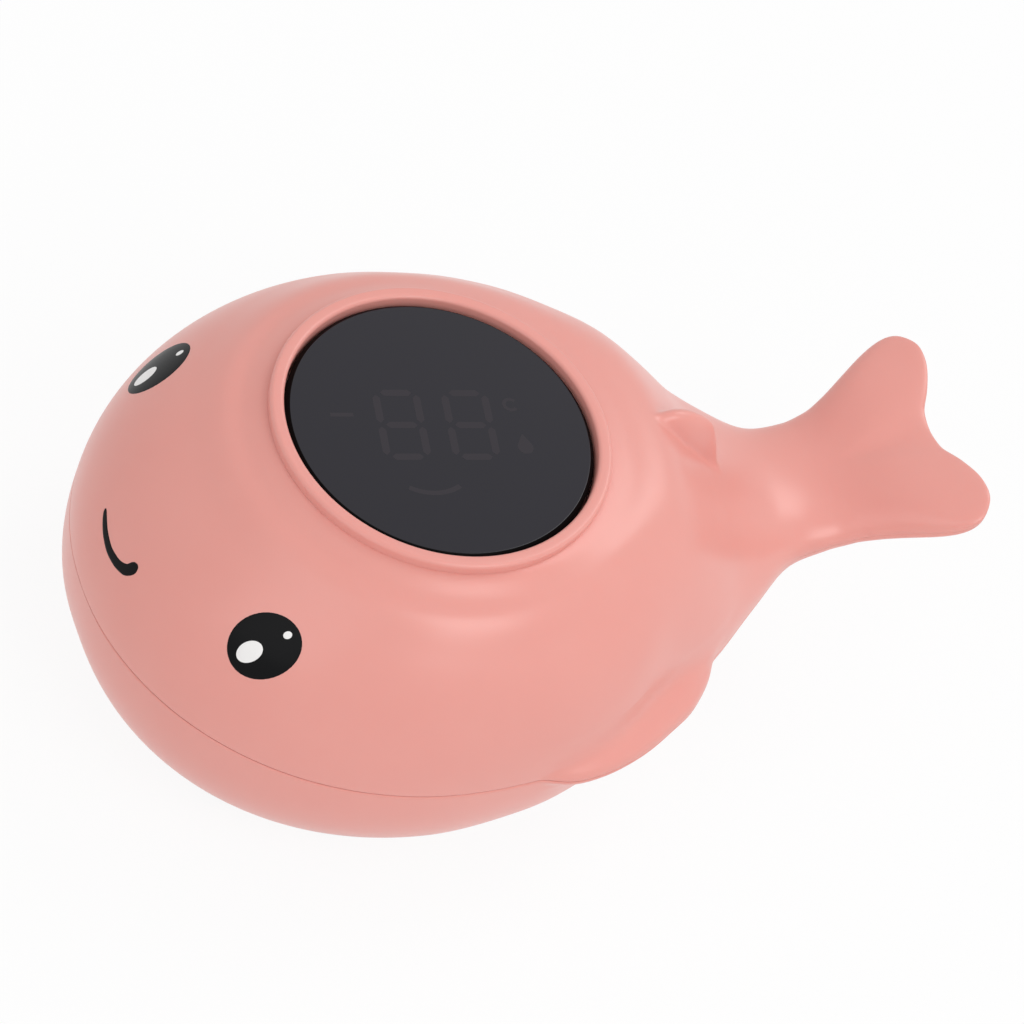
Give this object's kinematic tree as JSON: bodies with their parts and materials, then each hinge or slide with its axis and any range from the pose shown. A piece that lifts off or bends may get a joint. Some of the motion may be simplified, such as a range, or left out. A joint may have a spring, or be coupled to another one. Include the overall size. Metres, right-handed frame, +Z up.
{
  "type": "baby bath thermometer",
  "caption": "Floating bath thermometer shaped as a whale: two moulded pink shells, a round smoked display on the back, printed eyes and smile, and a tail that curves up into flukes.",
  "frame": {"origin": "under the middle of the bounding box, on the flat of the belly", "axes": "+X from the head to the tail, +Z up through the display, the head's left side faces -Y"},
  "size_m": [0.121, 0.077, 0.0483],
  "materials": {
    "coral_plastic": "satin moulded ABS, coral pink",
    "smoked_acrylic": "polished, smoked nearly black",
    "case_plastic": "moulded black",
    "light_guide": "milky diffuser",
    "seal_rubber": "soft black",
    "black_ink": "pad printed, glossy",
    "white_ink": "pad printed",
    "circuit_board": "green solder mask",
    "chip_resin": "moulded black epoxy",
    "cell_can": "nickel plated",
    "stainless_steel": "plain",
    "red_insulation": "extruded",
    "black_insulation": "extruded",
    "grey_insulation": "extruded"
  },
  "bodies": {
    "root": {"upper_shell": "coral_plastic", "lower_shell": "coral_plastic", "battery_door": "coral_plastic", "display_window": "smoked_acrylic", "display_case": "case_plastic", "segment_lens": "light_guide", "window_gasket": "seal_rubber", "shell_seal": "seal_rubber", "door_seal": "seal_rubber", "probe_seal": "seal_rubber", "left_eye": "black_ink", "right_eye": "black_ink", "smile": "black_ink", "left_eye_glint_large": "white_ink", "left_eye_glint_small": "white_ink", "right_eye_glint_large": "white_ink", "right_eye_glint_small": "white_ink", "main_board": "circuit_board", "controller_chip": "chip_resin", "board_screw_1": "stainless_steel", "board_screw_2": "stainless_steel", "board_screw_3": "stainless_steel", "shell_screw_1": "stainless_steel", "shell_screw_2": "stainless_steel", "shell_screw_3": "stainless_steel", "shell_screw_4": "stainless_steel", "coin_cell": "cell_can", "positive_contact": "stainless_steel", "negative_contact": "stainless_steel", "probe_cap": "stainless_steel", "left_water_contact": "stainless_steel", "right_water_contact": "stainless_steel", "thermistor": "chip_resin", "battery_lead_red": "red_insulation", "battery_lead_black": "black_insulation", "thermistor_lead": "grey_insulation", "left_contact_lead": "grey_insulation", "right_contact_lead": "grey_insulation"}
  },
  "joints": []
}
